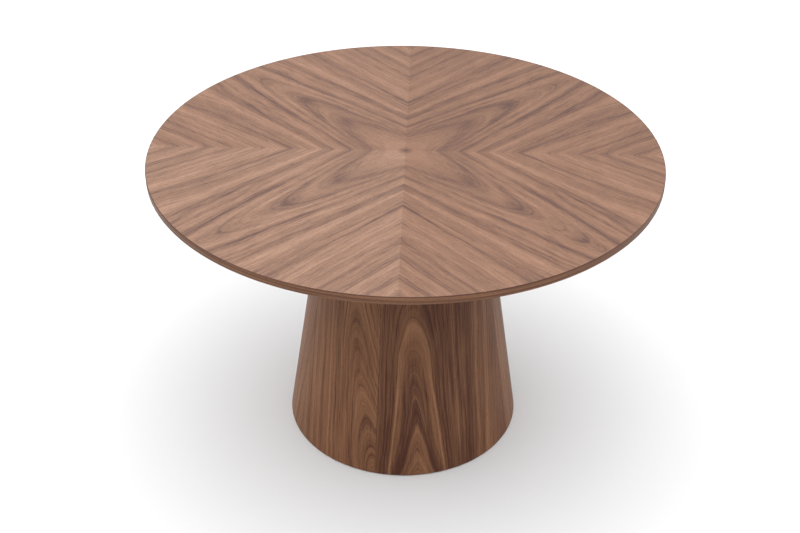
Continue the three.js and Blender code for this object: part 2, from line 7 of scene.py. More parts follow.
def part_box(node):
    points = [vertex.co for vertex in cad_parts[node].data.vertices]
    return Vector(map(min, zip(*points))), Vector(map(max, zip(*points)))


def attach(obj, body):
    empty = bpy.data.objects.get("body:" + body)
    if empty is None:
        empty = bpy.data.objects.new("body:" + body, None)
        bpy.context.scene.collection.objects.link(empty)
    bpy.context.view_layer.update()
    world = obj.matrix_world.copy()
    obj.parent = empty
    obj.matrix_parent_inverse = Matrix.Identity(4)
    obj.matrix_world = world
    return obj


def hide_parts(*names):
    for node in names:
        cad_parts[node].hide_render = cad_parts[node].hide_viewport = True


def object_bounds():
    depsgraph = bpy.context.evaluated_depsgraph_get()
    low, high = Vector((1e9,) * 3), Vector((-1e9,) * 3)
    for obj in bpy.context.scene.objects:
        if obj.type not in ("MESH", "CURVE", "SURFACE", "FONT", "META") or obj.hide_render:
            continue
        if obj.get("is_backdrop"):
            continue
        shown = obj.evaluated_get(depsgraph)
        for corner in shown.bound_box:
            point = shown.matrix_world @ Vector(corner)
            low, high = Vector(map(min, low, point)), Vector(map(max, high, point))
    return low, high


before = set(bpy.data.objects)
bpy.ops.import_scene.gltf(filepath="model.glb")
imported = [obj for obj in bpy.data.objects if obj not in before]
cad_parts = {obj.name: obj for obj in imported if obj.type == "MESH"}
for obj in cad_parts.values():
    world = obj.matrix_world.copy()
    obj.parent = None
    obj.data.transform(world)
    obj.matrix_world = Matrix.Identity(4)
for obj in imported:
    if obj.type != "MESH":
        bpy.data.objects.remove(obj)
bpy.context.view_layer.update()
print("frame loaded:", len(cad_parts), "parts")


class nodeDesk:
    # one material's node tree, with short ways to add and join nodes
    def __init__(self, name):
        self.material = bpy.data.materials.new(name)
        self.material.use_nodes = True
        self.tree = self.material.node_tree
        self.shader = self.tree.nodes["Principled BSDF"]

    def add(self, kind, **values):
        node = self.tree.nodes.new(kind)
        for key, value in values.items():
            setattr(node, key, value)
        return node

    def feed(self, socket, value):
        if isinstance(value, bpy.types.NodeSocket):
            self.tree.links.new(value, socket)
        else:
            socket.default_value = value

    def math(self, operation, a, b=0.0, c=0.0, clamp=False):
        node = self.add("ShaderNodeMath", operation=operation, use_clamp=clamp)
        for socket, value in zip(node.inputs, (a, b, c)):
            self.feed(socket, value)
        return node.outputs[0]

    def remap(self, value, low, high, newLow=0.0, newHigh=1.0, smooth=False):
        node = self.add("ShaderNodeMapRange", interpolation_type="SMOOTHSTEP" if smooth else "LINEAR")
        for socket, v in zip(node.inputs, (value, low, high, newLow, newHigh)):
            self.feed(socket, v)
        return node.outputs[0]

    def objectPoint(self):
        return self.add("ShaderNodeTexCoord").outputs["Object"]

    def split(self, vector):
        node = self.add("ShaderNodeSeparateXYZ")
        self.feed(node.inputs[0], vector)
        return node.outputs

    def join(self, x=0.0, y=0.0, z=0.0):
        node = self.add("ShaderNodeCombineXYZ")
        for socket, value in zip(node.inputs, (x, y, z)):
            self.feed(socket, value)
        return node.outputs[0]

    def place(self, vector, scale=(1, 1, 1)):
        node = self.add("ShaderNodeMapping")
        self.feed(node.inputs["Vector"], vector)
        self.feed(node.inputs["Scale"], scale)
        return node.outputs[0]

    def noise(self, vector, scale=1.0, detail=2.0, roughness=0.5, distortion=0.0):
        node = self.add("ShaderNodeTexNoise")
        self.feed(node.inputs["Vector"], vector)
        self.feed(node.inputs["Scale"], scale)
        self.feed(node.inputs["Detail"], detail)
        self.feed(node.inputs["Roughness"], roughness)
        self.feed(node.inputs["Distortion"], distortion)
        return node.outputs[0]

    def grain(self, first, second, stretch, depth, detail=2.0, roughness=0.5, distortion=0.0):
        # noise over two directions, each with its own number of changes per unit
        point = self.join(self.math("MULTIPLY", first, stretch[0]), self.math("MULTIPLY", second, stretch[1]), depth)
        return self.noise(point, 1.0, detail, roughness, distortion)

    def swing(self, value, span):
        # a value from 0 to 1 turned into one that swings evenly about 0
        return self.math("MULTIPLY_ADD", value, span, -span / 2)

    def ramp(self, value, stops):
        node = self.add("ShaderNodeValToRGB")
        band = node.color_ramp
        while len(band.elements) < len(stops):
            band.elements.new(1.0)
        for element, (where, colour) in zip(band.elements, stops):
            element.position = where
            element.color = colour if len(colour) == 4 else (*colour, 1.0)
        self.feed(node.inputs[0], value)
        return node.outputs[0]

    def mix(self, share, a, b, blend="MIX"):
        node = self.add("ShaderNodeMix", data_type="RGBA", blend_type=blend)
        self.feed(node.inputs[0], share)
        self.feed(node.inputs[6], a if isinstance(a, bpy.types.NodeSocket) else (*a, 1.0))
        self.feed(node.inputs[7], b if isinstance(b, bpy.types.NodeSocket) else (*b, 1.0))
        return node.outputs[2]

    def bump(self, height, strength, distance):
        node = self.add("ShaderNodeBump")
        self.feed(node.inputs["Height"], height)
        self.feed(node.inputs["Strength"], strength)
        self.feed(node.inputs["Distance"], distance)
        return node.outputs[0]

    def finish(self, colour, roughness, normal=None, metallic=0.0, **fixed):
        self.feed(self.shader.inputs["Base Color"], colour)
        self.feed(self.shader.inputs["Roughness"], roughness)
        self.feed(self.shader.inputs["Metallic"], metallic)
        if normal is not None:
            self.feed(self.shader.inputs["Normal"], normal)
        for key, value in fixed.items():
            self.shader.inputs[key].default_value = value
        return self.material


def linear(red, green, blue):
    # display colour from 0 to 255 to the renderer's linear colour, by the standard display curve
    parts = [c / 255 for c in (red, green, blue)]
    return tuple(c / 12.92 if c <= 0.04045 else ((c + 0.055) / 1.055) ** 2.4 for c in parts)


walnut = {
    "pale": linear(134, 100, 80),
    "middle": linear(109, 78, 60),
    "dark": linear(66, 40, 33),
    "contrast": 1 / 27,  # how far one step of a ring's tone moves the colour
}


def ringTone(desk, ring, stops, span):
    # lightness, centred on 0.5, of each growth ring across the figure
    # one ramp holds 32 stops, so two share the work
    value = desk.math("DIVIDE", ring, span)
    grey = [(where / span, (0.5 + tone * walnut["contrast"],) * 3) for where, tone in stops]
    half = len(grey) // 2
    inner, outer = desk.ramp(value, grey[:half + 1]), desk.ramp(value, grey[half:])
    return desk.mix(desk.math("GREATER_THAN", value, grey[half][0]), inner, outer)


def figureRing(desk, along, across, figure):
    # which growth ring shows at a point of a crown-cut leaf: nested tongues that
    # run to straight grain on both sides
    centred = desk.math("SUBTRACT", across, figure["lean"])
    soft = desk.math("MULTIPLY_ADD", centred, centred, figure["round"] ** 2)
    wide = desk.math("POWER", soft, 0.5)
    side = desk.remap(centred, -0.04, 0.04)
    fan = desk.remap(wide, figure["fanStart"], figure["fanStart"] + figure["fanWidth"])
    lean = desk.remap(side, 0.0, 1.0, figure["fanLeft"], figure["fanRight"])
    reach = desk.math("SUBTRACT", along, wide)
    shift = desk.math("MULTIPLY", desk.math("MULTIPLY", fan, lean), reach)
    flat = desk.math("MAXIMUM", desk.math("SUBTRACT", wide, shift), 0.0001)
    rise = desk.math("POWER", desk.math("MAXIMUM", along, 0.0), figure["bend"])
    depth = desk.math("MULTIPLY", rise, figure["slope"])
    power = figure["power"]
    total = desk.math("ADD", desk.math("POWER", flat, power), desk.math("POWER", depth, power))
    return desk.math("POWER", total, 1 / power)


def walnutColour(desk, tone, tint):
    # tone 0 is the darkest late wood and 1 the palest early wood
    stops = [(0.0, walnut["dark"]), (0.5, walnut["middle"]), (1.0, walnut["pale"])]
    colour = desk.ramp(tone, stops)
    return desk.mix(1.0, colour, tint, "MULTIPLY")


def growthLines(desk, ring, along, seed, count):
    # thin dark lines of late wood, where a slow noise across the rings passes its middle
    slow = desk.grain(ring, along, (count, 1.3), seed, 1.0)
    off = desk.math("ABSOLUTE", desk.math("SUBTRACT", slow, 0.5))
    return desk.remap(off, 0.0, 0.035, 1.0, 0.0, smooth=True)


def poreMask(desk, along, across, depth, length=0.011, width=0.0009):
    # short open pores that lie along the grain
    vector = desk.join(desk.math("DIVIDE", along, length), desk.math("DIVIDE", across, width), depth)
    spots = desk.noise(vector, 1.0, 1.0, 0.4)
    return desk.remap(spots, 0.58, 0.68, 0.0, 1.0)


topRadius = 0.6

topFigure = {
    # lengths are shares of the top's radius
    "lean": 0.006,
    "round": 0.022,
    "fanStart": 0.148,
    "fanWidth": 0.226,
    "fanLeft": 0.088,
    "fanRight": 0.187,
    "bend": 0.4,
    "slope": 0.1457,
    "power": 2.05,
    "rings": [
        (0.030, 4), (0.052, 6), (0.070, 5), (0.086, 0), (0.097, -4), (0.105, -1), (0.112, 0),
        (0.121, -7), (0.129, -1), (0.140, -2), (0.147, 5), (0.154, 0), (0.160, -8), (0.167, -1),
        (0.180, 2), (0.192, 4), (0.206, 1), (0.217, -6), (0.226, 2), (0.240, 7), (0.275, -1), (0.300, 0),
        (0.310, -2), (0.318, -9), (0.327, 0), (0.362, 7), (0.398, 1), (0.425, 4), (0.468, 1), (0.480, -6),
        (0.491, 1), (0.530, 2), (0.556, -3), (0.567, 3), (0.600, 4), (0.632, 0), (0.641, -6), (0.652, 2),
        (0.690, 4), (0.712, -3), (0.723, 3), (0.760, 3),
    ],
    "span": 0.8,
    # dark late wood at the tips of the tongues: how far along, half length, half width, depth
    "tips": [(0.335, 0.046, 0.017, 0.15), (0.575, 0.050, 0.017, 0.21), (0.80, 0.10, 0.03, 0.06)],
    "lateCount": 150.0,
    "late": 0.22,
    "lineCount": 95.0,
    "lines": 1.6,
    "fibres": 1.15,
    "sway": 0.03,
    "clouds": 0.3,
    # the innermost tongues are calm along their middles: half widths, what is left there, and the rings where it ends
    "calmMiddle": (0.012, 0.055, 0.15),
    "calmRings": (0.085, 0.14),
    "knot": (0.034, 0.5),  # where the leaves meet: radius and depth
    "pores": 0.5,
}


def walnutLeaf(name, tint, slip):
    # a quarter leaf of the top. Its grain runs out from the centre at 45 degrees, and
    # the four quarters mirror each other in both seams
    desk = nodeDesk(name)
    x, y, _ = desk.split(desk.objectPoint())
    u = desk.math("DIVIDE", desk.math("ABSOLUTE", x), topRadius)
    v = desk.math("DIVIDE", desk.math("ABSOLUTE", y), topRadius)
    half = math.sqrt(0.5)
    along = desk.math("MULTIPLY", desk.math("ADD", u, v), half)
    across = desk.math("MULTIPLY", desk.math("SUBTRACT", u, v), half)
    sway = desk.swing(desk.grain(along, across, (3.0, 5.0), slip), topFigure["sway"])
    waved = desk.math("ADD", across, sway)
    ring = figureRing(desk, along, waved, topFigure)
    tone = ringTone(desk, ring, topFigure["rings"], topFigure["span"])
    for middle, reach, width, depth in topFigure["tips"]:
        p = desk.math("DIVIDE", desk.math("SUBTRACT", along, middle), reach)
        q = desk.math("DIVIDE", desk.math("SUBTRACT", waved, topFigure["lean"]), width)
        far = desk.math("MULTIPLY_ADD", p, p, desk.math("MULTIPLY", q, q))
        mark = desk.math("EXPONENT", desk.math("MULTIPLY", far, -1.0))
        tone = desk.math("MULTIPLY_ADD", mark, -depth, tone)
    # fine growth lines follow the rings and change slowly along the leaf
    lines = desk.grain(ring, along, (topFigure["lineCount"], 2.2), slip * 3, 4.0, 0.72)
    lines = desk.swing(lines, topFigure["lines"])
    narrow, broad, least = topFigure["calmMiddle"]
    flank = desk.remap(desk.math("ABSOLUTE", waved), narrow, broad, least, 1.0)
    calm = desk.math("MAXIMUM", flank, desk.remap(ring, *topFigure["calmRings"]))
    lines = desk.math("MULTIPLY", lines, calm)
    fibres = desk.swing(desk.grain(waved, along, (240.0, 12.0), slip, 3.0, 0.65), topFigure["fibres"])
    late = growthLines(desk, ring, along, slip * 3, topFigure["lateCount"])
    late = desk.math("MULTIPLY", late, calm)
    tone = desk.math("MULTIPLY_ADD", late, -topFigure["late"], tone)
    clouds = desk.swing(desk.grain(across, along, (7.0, 2.2), slip + 5), topFigure["clouds"])
    tone = desk.math("ADD", desk.math("ADD", tone, lines), desk.math("ADD", fibres, clouds))
    radius, depth = topFigure["knot"]
    heart = desk.remap(along, 0.0, radius, depth, 0.0, smooth=True)
    tone = desk.math("SUBTRACT", tone, heart, clamp=True)
    # tint carries this leaf's painted sheen as well as its colour
    colour = walnutColour(desk, tone, tint)
    metres = desk.math("MULTIPLY", along, topRadius), desk.math("MULTIPLY", across, topRadius)
    pores = poreMask(desk, *metres, slip)
    colour = desk.mix(desk.math("MULTIPLY", pores, topFigure["pores"]), colour, walnut["dark"])
    rough = desk.math("ADD", desk.remap(tone, 0.0, 1.0, 0.50, 0.42), desk.math("MULTIPLY", pores, 0.12))
    relief = desk.math("SUBTRACT", desk.math("MULTIPLY", tone, 0.3), pores)
    normal = desk.bump(relief, 0.25, 0.0002)
    return desk.finish(colour, rough, normal, **{"Specular IOR Level": 0.4})


drumFigure = {
    "roundPower": 2.15,  # broad tongues higher up
    "pointedPower": 1.4,  # and pointed ones near the foot
    "point": 0.001,  # how much the low tips are drawn out
    "lowTips": 1.17,  # the innermost tongues end lower down
    "spread": 0.0125,  # width of the tongues, squared, gained per metre down from their tips
    "bell": 0.07,  # how far from its axis a figure still leans
    "span": 0.25,
    "sway": 0.014,
    "wobble": 0.003,
    "lines": 1.7,
    "late": 0.16,
    "lateCount": 170.0,
    "fibres": 0.8,
    "clouds": 0.5,
    "seam": (0.0002, 0.0009, 0.5),  # half widths and depth of the line where two leaves meet
    "pores": 0.4,
    "tint": (1.03, 0.94, 0.785),
    # leaves round the drum: seam where each starts, where its figure stands,
    # lean in degrees per metre, tone, and 0 for quiet rings or 1 for bold ones.
    # The tone is partly each leaf's own and partly painted light: the side leaves are lighter and the front leaf
    # darker, as light falls on the drum
    "leaves": [
        (-180.0, -196.0, 10.0, 0.16, 0),
        (-152.0, -108.0, -48.0, 0.05, 0),
        (-102.3, -81.9, -5.0, -0.08, 1),
        (-23.0, 6.0, 12.0, 0.12, 0),
        (36.0, 68.0, -20.0, 0.04, 1),
        (96.0, 121.0, 15.0, 0.0, 0),
        (148.0, 164.0, 10.0, 0.10, 0),
    ],
    "quiet": [
        (0.025, 0), (0.0316, -4), (0.0354, -5), (0.041, 2), (0.044, 6), (0.0456, -3), (0.0474, -5),
        (0.051, 1), (0.0565, 5), (0.0579, 5), (0.0588, -4), (0.0612, -3), (0.066, -6), (0.068, -1),
        (0.0707, -4), (0.079, 2), (0.090, -1), (0.100, -5), (0.106, 1), (0.113, -3), (0.117, 8),
        (0.122, -3), (0.132, 2), (0.140, -5), (0.150, 3), (0.162, -3), (0.175, 5), (0.190, -4), (0.205, 3),
        (0.22, -2), (0.24, 2),
    ],
    "bold": [
        (0.025, 1), (0.0306, 5), (0.034, 0), (0.040, -4), (0.0455, 4), (0.0475, -2), (0.0500, -10),
        (0.0535, -14), (0.0570, -8), (0.0605, -5), (0.0637, -9), (0.0665, 0), (0.0700, 7), (0.0722, 11),
        (0.0732, 1), (0.077, -3), (0.082, -7), (0.088, -5), (0.094, -7), (0.100, -3), (0.108, -6),
        (0.116, -3), (0.125, -6), (0.135, -4), (0.145, -6), (0.155, -4), (0.168, -1), (0.176, 8),
        (0.184, -2), (0.197, 0), (0.207, 8), (0.22, 0),
    ],
}


def walnutDrum(name):
    # the veneer on the drum: leaves side by side with upright grain and nested tongues
    desk = nodeDesk(name)
    x, y, z = desk.split(desk.objectPoint())
    degrees = desk.math("MULTIPLY", desk.math("ARCTAN2", y, x), 180 / math.pi)
    leaves = drumFigure["leaves"]
    stand, lean, shade, kind = leaves[0][1:]
    nearest = 10.0
    for i, leaf in enumerate(leaves[1:], 1):
        past = desk.math("GREATER_THAN", degrees, leaf[0])
        before = leaves[i - 1]
        stand = desk.math("MULTIPLY_ADD", past, leaf[1] - before[1], stand)
        lean = desk.math("MULTIPLY_ADD", past, leaf[2] - before[2], lean)
        shade = desk.math("MULTIPLY_ADD", past, leaf[3] - before[3], shade)
        kind = desk.math("MULTIPLY_ADD", past, leaf[4] - before[4], kind)
        apart = desk.math("ABSOLUTE", desk.math("SUBTRACT", degrees, leaf[0]))
        nearest = desk.math("MINIMUM", nearest, apart)
    radius = desk.math("POWER", desk.math("MULTIPLY_ADD", x, x, desk.math("MULTIPLY", y, y)), 0.5)
    perDegree = desk.math("MULTIPLY", radius, math.pi / 180)
    across = desk.math("MULTIPLY", desk.math("SUBTRACT", degrees, stand), perDegree)
    shift = desk.math("MULTIPLY", desk.math("MULTIPLY", lean, perDegree), desk.math("SUBTRACT", z, 0.15))
    ratio = desk.math("DIVIDE", across, drumFigure["bell"])
    bell = desk.math("DIVIDE", 1.0, desk.math("MULTIPLY_ADD", ratio, ratio, 1.0))
    sway = desk.swing(desk.grain(across, z, (14.0, 5.0), stand, 3.0), drumFigure["sway"])
    wobble = desk.swing(desk.grain(across, z, (30.0, 22.0), stand, 1.0), drumFigure["wobble"])
    waved = desk.math("SUBTRACT", across, desk.math("MULTIPLY", shift, bell))
    waved = desk.math("ADD", waved, sway)
    waved = desk.math("ADD", waved, wobble)
    height = desk.math("MULTIPLY", desk.math("MAXIMUM", z, 0.0), drumFigure["spread"])
    depth = desk.math("POWER", height, 0.5)
    depth = desk.math("MULTIPLY", depth, desk.remap(z, 0.12, 0.34, drumFigure["lowTips"], 1.0))
    side = desk.math("ABSOLUTE", waved)
    norms = []
    for p in (drumFigure["roundPower"], drumFigure["pointedPower"]):
        total = desk.math("ADD", desk.math("POWER", depth, p), desk.math("POWER", side, p))
        norms.append(desk.math("POWER", total, 1 / p))
    ring, pointed = norms
    # only the bold leaves turn pointed, low down and near their middles
    low = desk.remap(z, 0.18, 0.30, 1.0, 0.0)
    share = desk.math("MULTIPLY", low, desk.remap(ring, 0.054, 0.068, 1.0, 0.0))
    share = desk.math("MULTIPLY", share, kind)
    ring = desk.math("MULTIPLY_ADD", desk.math("SUBTRACT", pointed, ring), share, ring)
    near = desk.math("DIVIDE", waved, 0.012)
    spike = desk.math("EXPONENT", desk.math("MULTIPLY", desk.math("MULTIPLY", near, near), -1.0))
    spike = desk.math("MULTIPLY", spike, desk.remap(z, 0.20, 0.27, drumFigure["point"], 0.0))
    ring = desk.math("SUBTRACT", ring, spike)
    quiet, bold = [ringTone(desk, ring, drumFigure[key], drumFigure["span"]) for key in ("quiet", "bold")]
    tone = desk.mix(kind, quiet, bold)
    lines = desk.swing(desk.grain(ring, z, (260.0, 2.5), stand, 4.0, 0.75), drumFigure["lines"])
    late = growthLines(desk, ring, z, stand, drumFigure["lateCount"])
    tone = desk.math("MULTIPLY_ADD", late, -drumFigure["late"], tone)
    fibres = desk.swing(desk.grain(across, z, (520.0, 12.0), stand, 3.0, 0.65), drumFigure["fibres"])
    clouds = desk.grain(across, z, (16.0, 4.0), desk.math("ADD", stand, 0.5))
    clouds = desk.swing(clouds, drumFigure["clouds"])
    # shade adds each leaf's tone, partly its own and partly painted light
    detail = desk.math("ADD", desk.math("ADD", lines, clouds), desk.math("ADD", fibres, shade))
    tone = desk.math("ADD", tone, detail, clamp=True)
    colour = walnutColour(desk, tone, drumFigure["tint"])
    gap = desk.math("MULTIPLY", nearest, perDegree)
    thin, broad, dark = drumFigure["seam"]
    colour = desk.mix(desk.remap(gap, thin, broad, dark, 0.0), colour, walnut["dark"])
    pores = poreMask(desk, z, across, stand)
    colour = desk.mix(desk.math("MULTIPLY", pores, drumFigure["pores"]), colour, walnut["dark"])
    rough = desk.math("ADD", desk.remap(tone, 0.0, 1.0, 0.52, 0.44), desk.math("MULTIPLY", pores, 0.12))
    relief = desk.math("SUBTRACT", desk.math("MULTIPLY", tone, 0.3), pores)
    normal = desk.bump(relief, 0.25, 0.0002)
    return desk.finish(colour, rough, normal, **{"Specular IOR Level": 0.12})


bandFigure = {
    "tint": (0.99, 0.945, 0.85),
    "pores": 0.4,
    "arris": (0.0160, 0.0172, 0.75),  # painted shade: a dark line along the eased top edge, darkening the light its rounding catches: heights and depth
}


def walnutBand(name):
    # edge banding with its grain along the strip
    desk = nodeDesk(name)
    u, v, _ = desk.split(desk.add("ShaderNodeUVMap", uv_map="bandUv").outputs[0])
    slow = desk.grain(u, v, (1.7, 260.0), 0.0, 3.0, 0.6)
    fine = desk.grain(u, v, (9.0, 900.0), 3.0, 3.0, 0.6)
    tone = desk.math("MULTIPLY_ADD", slow, 2.2, -0.75)
    tone = desk.math("ADD", tone, desk.swing(fine, 0.5), clamp=True)
    colour = walnutColour(desk, tone, bandFigure["tint"])
    pores = poreMask(desk, u, v, 1.0)
    colour = desk.mix(desk.math("MULTIPLY", pores, bandFigure["pores"]), colour, walnut["dark"])
    start, end, dark = bandFigure["arris"]
    # painted shade along the eased top edge
    colour = desk.mix(desk.remap(v, start, end, 0.0, dark), colour, walnut["dark"])
    rough = desk.math("MULTIPLY_ADD", pores, 0.12, 0.46)
    normal = desk.bump(desk.math("SUBTRACT", desk.math("MULTIPLY", tone, 0.3), pores), 0.25, 0.0002)
    return desk.finish(colour, rough, normal, **{"Specular IOR Level": 0.15})


def walnutBack(name):
    # plain straight-grained veneer on the underside, in strips along X
    desk = nodeDesk(name)
    x, y, _ = desk.split(desk.objectPoint())
    stripWidth = 0.17
    strip = desk.math("FLOOR", desk.math("DIVIDE", y, stripWidth))
    slow = desk.math("MULTIPLY_ADD", desk.grain(x, y, (1.1, 48.0), strip, 4.0, 0.6), 1.3, -0.2)
    fine = desk.swing(desk.grain(x, y, (14.0, 420.0), strip, 2.0, 0.6), 0.4)
    tone = desk.math("ADD", slow, fine, clamp=True)
    colour = walnutColour(desk, tone, (1.0, 0.93, 0.85))
    pores = poreMask(desk, x, y, strip)
    colour = desk.mix(desk.math("MULTIPLY", pores, 0.35), colour, walnut["dark"])
    normal = desk.bump(desk.math("SUBTRACT", 0.0, pores), 0.3, 0.0002)
    rough = desk.math("MULTIPLY_ADD", pores, 0.1, 0.58)
    return desk.finish(colour, rough, normal, **{"Specular IOR Level": 0.15})


def softwood(name, pale, dark):
    # sawn wood with straight upright grain
    desk = nodeDesk(name)
    point = desk.objectPoint()
    broad = desk.noise(desk.place(point, scale=(40.0, 40.0, 1.5)), 1.0, 4.0, 0.6, 0.4)
    fibres = desk.noise(desk.place(point, scale=(340.0, 340.0, 10.0)), 1.0, 2.0, 0.6)
    broad = desk.math("MULTIPLY_ADD", broad, 1.6, -0.45)
    tone = desk.math("ADD", broad, desk.swing(fibres, 0.5), clamp=True)
    colour = desk.mix(tone, dark, pale)
    normal = desk.bump(fibres, 0.3, 0.0003)
    return desk.finish(colour, desk.remap(fibres, 0.3, 0.7, 0.60, 0.76), normal)


plyPair = 0.003  # thickness of one pale and one dark ply
wallTaper = 0.1537  # how much the drum's radius shrinks per metre up


def plywood(name, bent=False):
    # faces show birch, edges show the layers of glued plies
    desk = nodeDesk(name)
    point = desk.objectPoint()
    x, y, z = desk.split(point)
    radius = desk.math("POWER", desk.math("MULTIPLY_ADD", x, x, desk.math("MULTIPLY", y, y)), 0.5)
    facing = desk.math("ABSOLUTE", desk.split(desk.add("ShaderNodeTexCoord").outputs["Normal"])[2])
    if bent:  # the wall's plies stand upright and show on its rim
        angle = desk.math("ARCTAN2", y, x)
        face = desk.grain(angle, z, (14.0, 3.0), radius, 4.0, 0.6, 0.5)
        depth = desk.math("MULTIPLY_ADD", z, wallTaper, radius)
        edge = desk.remap(facing, 0.5, 0.8)
    else:
        face = desk.noise(desk.place(point, scale=(3.0, 60.0, 60.0)), 1.0, 4.0, 0.6, 0.5)
        depth = z
        edge = desk.remap(facing, 0.3, 0.7, 1.0, 0.0)
    plies = desk.math("SINE", desk.math("MULTIPLY", depth, 2 * math.pi / plyPair))
    layers = desk.math("MULTIPLY", desk.remap(plies, -0.4, 0.4), edge)
    colour = desk.mix(desk.remap(face, 0.3, 0.7), linear(158, 126, 86), linear(186, 156, 114))
    colour = desk.mix(desk.math("MULTIPLY", layers, 0.5), colour, linear(104, 74, 46))
    normal = desk.bump(face, 0.25, 0.0003)
    return desk.finish(colour, desk.remap(face, 0.2, 0.8, 0.6, 0.75), normal)


def fibreboard(name):
    desk = nodeDesk(name)
    point = desk.objectPoint()
    flecks = desk.noise(point, 900.0, 3.0, 0.7)
    clouds = desk.noise(point, 24.0, 3.0, 0.6)
    tone = desk.math("MULTIPLY_ADD", clouds, 0.5, desk.math("MULTIPLY", flecks, 0.5), clamp=True)
    colour = desk.mix(tone, linear(104, 80, 56), linear(146, 120, 88))
    return desk.finish(colour, desk.remap(flecks, 0.3, 0.7, 0.8, 0.95), desk.bump(flecks, 0.4, 0.0003))


def metal(name, colour, rough, brushed=(1, 1, 1), metallic=1.0, wear=0.5, paint=False):
    # brushed or cast metal with smudges, and paler rubbed spots
    desk = nodeDesk(name)
    point = desk.objectPoint()
    scratches = desk.noise(desk.place(point, scale=brushed), 220.0, 3.0, 0.65)
    smudges = desk.noise(point, 26.0, 3.0, 0.6)
    pale = tuple(min(1.0, c * 1.25 + 0.01) for c in colour)
    dull = tuple(c * 0.78 for c in colour)
    tone = desk.remap(smudges, 0.3, 0.7)
    shade = desk.mix(tone, dull, colour)
    shade = desk.mix(desk.math("MULTIPLY", desk.remap(scratches, 0.55, 0.75), wear), shade, pale)
    base = desk.remap(scratches, 0.3, 0.7, rough - 0.07, rough + 0.09)
    base = desk.math("ADD", base, desk.swing(smudges, 0.16))
    normal = desk.bump(scratches, 0.22, 0.00012)
    fixed = {"Coat Weight": 0.3, "Coat Roughness": 0.35} if paint else {}
    return desk.finish(shade, base, normal, metallic, **fixed)


def mouldedRubber(name, colour, rough, grain=500.0):
    desk = nodeDesk(name)
    point = desk.objectPoint()
    speck = desk.noise(point, grain, 2.0, 0.6)
    dust = desk.noise(point, 30.0, 3.0, 0.6)
    pale = tuple(c * 1.7 + 0.01 for c in colour)
    shade = desk.mix(desk.remap(dust, 0.4, 0.8, 0.0, 0.45), colour, pale)
    patchy = desk.remap(speck, 0.3, 0.7, rough - 0.07, rough + 0.07)
    return desk.finish(shade, patchy, desk.bump(speck, 0.3, 0.0002))


finishes = {
    "back": walnutBack("walnutBackVeneer"),
    "fibreboard": fibreboard("fibreboardCore"),
    "plywood": plywood("birchPly"),
    "bentPly": plywood("bentBirchPly", bent=True),
    "softwood": softwood("pineRib", linear(190, 160, 118), linear(150, 116, 76)),
    "blackSteel": metal("blackPaintedSteel", linear(40, 41, 45), 0.44, (1, 0.2, 1), 0.3, 0.25, paint=True),
    "zinc": metal("zincSteel", linear(186, 190, 194), 0.33, (1, 1, 0.2), 1.0, 0.4),
    "brass": metal("satinBrass", linear(196, 158, 88), 0.30, (1, 0.12, 1), 1.0, 0.5),
    "bronze": metal("bearingBronze", linear(168, 124, 76), 0.40, (0.2, 1, 1), 1.0, 0.4),
    "iron": metal("castIron", linear(62, 63, 66), 0.62, (1, 1, 1), 0.7, 0.3),
    "rubber": mouldedRubber("blackRubber", linear(30, 30, 31), 0.78),
    "nylon": mouldedRubber("blackNylon", linear(38, 38, 40), 0.5, 900.0),
}
# the first row whose start fits a node's name gives its finish
nodeFinish = [
    ("top_core", "fibreboard"), ("back_veneer", "back"), ("mounting_board", "plywood"),
    ("drum_shell", "bentPly"), ("bottom_board", "plywood"), ("former_ring", "plywood"),
    ("mechanism_deck", "plywood"), ("rib_", "softwood"), ("hinge_arm", "blackSteel"),
    ("hinge_bracket", "blackSteel"), ("hinge_pin", "zinc"), ("arm_bush", "bronze"),
    ("board_screw", "zinc"), ("arm_screw", "zinc"), ("bracket_bolt", "zinc"), ("ballast_bolt", "zinc"),
    ("glide_nut", "zinc"), ("lock_", "brass"), ("keeper_screw", "brass"), ("ballast_plate", "iron"),
    ("rim_pad", "rubber"), ("glide_", "nylon"),
]
for name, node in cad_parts.items():
    for start, key in nodeFinish:
        if name.startswith(start):
            node.data.materials.clear()
            node.data.materials.append(finishes[key])
            break
print("finishes made")


def placeMesh(name, mesh):
    # puts a finished bmesh in the scene
    data = bpy.data.meshes.new(name)
    mesh.to_mesh(data)
    mesh.free()
    thing = bpy.data.objects.new(name, data)
    bpy.context.scene.collection.objects.link(thing)
    return thing


def meshPiece(name, mesh, material, body, node, crease):
    # a visible piece in place of one node, smooth up to the crease angle in degrees
    bmesh.ops.recalc_face_normals(mesh, faces=mesh.faces)
    piece = placeMesh(name, mesh)
    piece.data.materials.append(material)
    for polygon in piece.data.polygons:
        polygon.use_smooth = True
    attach(piece, body)
    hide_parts(node)
    smoothByAngle(piece, crease)
    return piece


def smoothByAngle(piece, degrees):
    # keeps edges sharper than this crisp
    piece.data.set_sharp_from_angle(angle=math.radians(degrees))


def raised(made):
    # the corners that an extrusion has just made
    return [g for g in made["geom"] if isinstance(g, bmesh.types.BMVert)]


def slab(radius, segments):
    # flat round plate, for thickening
    mesh = bmesh.new()
    bmesh.ops.create_circle(mesh, cap_ends=True, segments=segments, radius=radius)
    return mesh


def thicken(mesh, height):
    made = bmesh.ops.extrude_face_region(mesh, geom=mesh.faces[:])
    bmesh.ops.translate(mesh, vec=(0, 0, height), verts=raised(made))


topPiece = {
    "radius": topRadius,
    "thickness": 0.018,
    "underside": 0.732,
    "band": 0.0012,
    "leaf": 0.0006,
    "arris": 0.0008,
    "steps": 384,
}


